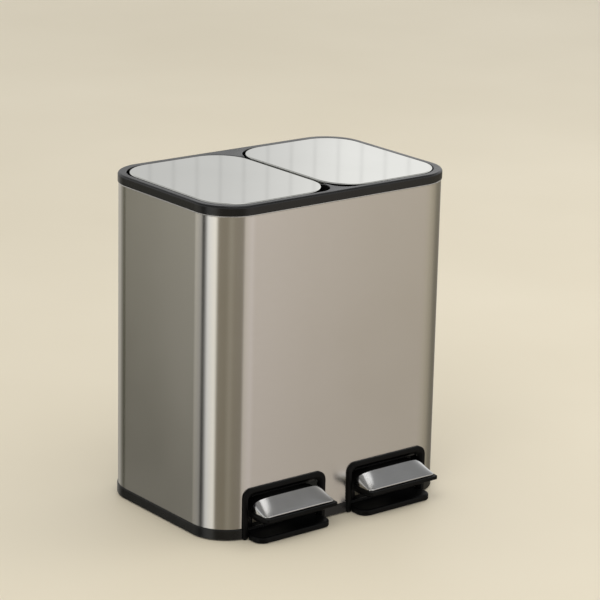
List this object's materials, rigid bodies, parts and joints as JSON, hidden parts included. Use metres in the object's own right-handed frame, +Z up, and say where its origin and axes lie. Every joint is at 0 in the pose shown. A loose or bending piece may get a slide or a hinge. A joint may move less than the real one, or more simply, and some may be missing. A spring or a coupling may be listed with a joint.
{
  "type": "pedal bin",
  "caption": "Upright twin pedal bin: rounded brushed steel body, black frame, flush steel lids, each opened by its own front pedal over a lever and push rod.",
  "frame": {"origin": "on the floor, at the middle of the whole bin with its pedals", "axes": "+X to the bin's right seen from the front, +Y to the back, +Z up; the pedals are at -Y"},
  "size_m": [0.4024, 0.3118, 0.4588],
  "materials": {
    "brushed_body_steel": "vertically brushed stainless steel",
    "lid_steel": "bright polished stainless steel, nearly a mirror",
    "pedal_steel": "satin stainless steel",
    "zinc_plated_steel": "zinc plated steel wire, strip and screws",
    "black_plastic": "black moulded plastic, fine satin texture",
    "bucket_plastic": "dark grey moulded polypropylene",
    "black_rubber": "matt black rubber"
  },
  "bodies": {
    "root": {"outer_shell": "brushed_body_steel", "base_ring": "black_plastic", "bucket_deck": "black_plastic", "top_frame": "black_plastic", "inner_back_panel": "black_plastic", "left_pedal_surround": "black_plastic", "right_pedal_surround": "black_plastic", "left_foot_plate": "black_plastic", "right_foot_plate": "black_plastic", "left_foot_plate_screw_inner": "zinc_plated_steel", "right_foot_plate_screw_inner": "zinc_plated_steel", "left_foot_plate_screw_outer": "zinc_plated_steel", "right_foot_plate_screw_outer": "zinc_plated_steel", "left_rubber_foot_front": "black_rubber", "right_rubber_foot_front": "black_rubber", "left_rubber_foot_back": "black_rubber", "right_rubber_foot_back": "black_rubber", "left_bucket": "bucket_plastic", "right_bucket": "bucket_plastic", "left_hinge_pin_inner": "zinc_plated_steel", "right_hinge_pin_inner": "zinc_plated_steel", "left_hinge_pin_outer": "zinc_plated_steel", "right_hinge_pin_outer": "zinc_plated_steel", "left_rod_guide_lower": "black_plastic", "right_rod_guide_lower": "black_plastic", "left_rod_guide_upper": "black_plastic", "right_rod_guide_upper": "black_plastic", "left_damper_cylinder": "black_plastic", "right_damper_cylinder": "black_plastic", "left_pivot_pin": "zinc_plated_steel", "right_pivot_pin": "zinc_plated_steel"},
    "left_lid": {"left_lid_cover": "lid_steel", "left_lid_base": "black_plastic", "left_crank_pin": "zinc_plated_steel", "left_lid_bumper_inner": "black_rubber", "left_lid_bumper_outer": "black_rubber"},
    "left_rod": {"left_push_rod": "zinc_plated_steel", "left_damper_piston": "zinc_plated_steel"},
    "left_pedal": {"left_pedal_plate": "pedal_steel", "left_pedal_body": "black_plastic", "left_pedal_lever": "zinc_plated_steel", "left_pedal_screw": "zinc_plated_steel"},
    "right_lid": {"right_lid_cover": "lid_steel", "right_lid_base": "black_plastic", "right_crank_pin": "zinc_plated_steel", "right_lid_bumper_inner": "black_rubber", "right_lid_bumper_outer": "black_rubber"},
    "right_rod": {"right_push_rod": "zinc_plated_steel", "right_damper_piston": "zinc_plated_steel"},
    "right_pedal": {"right_pedal_plate": "pedal_steel", "right_pedal_body": "black_plastic", "right_pedal_lever": "zinc_plated_steel", "right_pedal_screw": "zinc_plated_steel"}
  },
  "joints": [
    {"name": "left_lid_hinge", "type": "hinge", "parent": "root", "child": "left_lid", "pos_m": [-0.09685, 0.1299, 0.4551], "axis": [-1, 0, 0], "range_deg": [0, 80]},
    {"name": "left_pedal_pivot", "type": "hinge", "parent": "root", "child": "left_pedal", "pos_m": [-0.0884, -0.0233, 0.022], "axis": [1, 0, 0], "range_deg": [0, 7.2]},
    {"name": "left_rod_slide", "type": "slide", "parent": "root", "child": "left_rod", "axis": [0, 0, 1], "range_m": [0, 0.0207]},
    {"name": "right_lid_hinge", "type": "hinge", "parent": "root", "child": "right_lid", "pos_m": [0.09685, 0.1299, 0.4551], "axis": [-1, 0, 0], "range_deg": [0, 80]},
    {"name": "right_pedal_pivot", "type": "hinge", "parent": "root", "child": "right_pedal", "pos_m": [0.0884, -0.0233, 0.022], "axis": [1, 0, 0], "range_deg": [0, 7.2]},
    {"name": "right_rod_slide", "type": "slide", "parent": "root", "child": "right_rod", "axis": [0, 0, 1], "range_m": [0, 0.0207]}
  ],
  "couplings": [
    {"joint": "left_pedal_pivot", "follows": "left_lid_hinge", "ratio": 0.08875},
    {"joint": "left_rod_slide", "follows": "left_lid_hinge", "m_per_rad": 0.014754},
    {"joint": "right_pedal_pivot", "follows": "right_lid_hinge", "ratio": 0.08875},
    {"joint": "right_rod_slide", "follows": "right_lid_hinge", "m_per_rad": 0.014754}
  ]
}
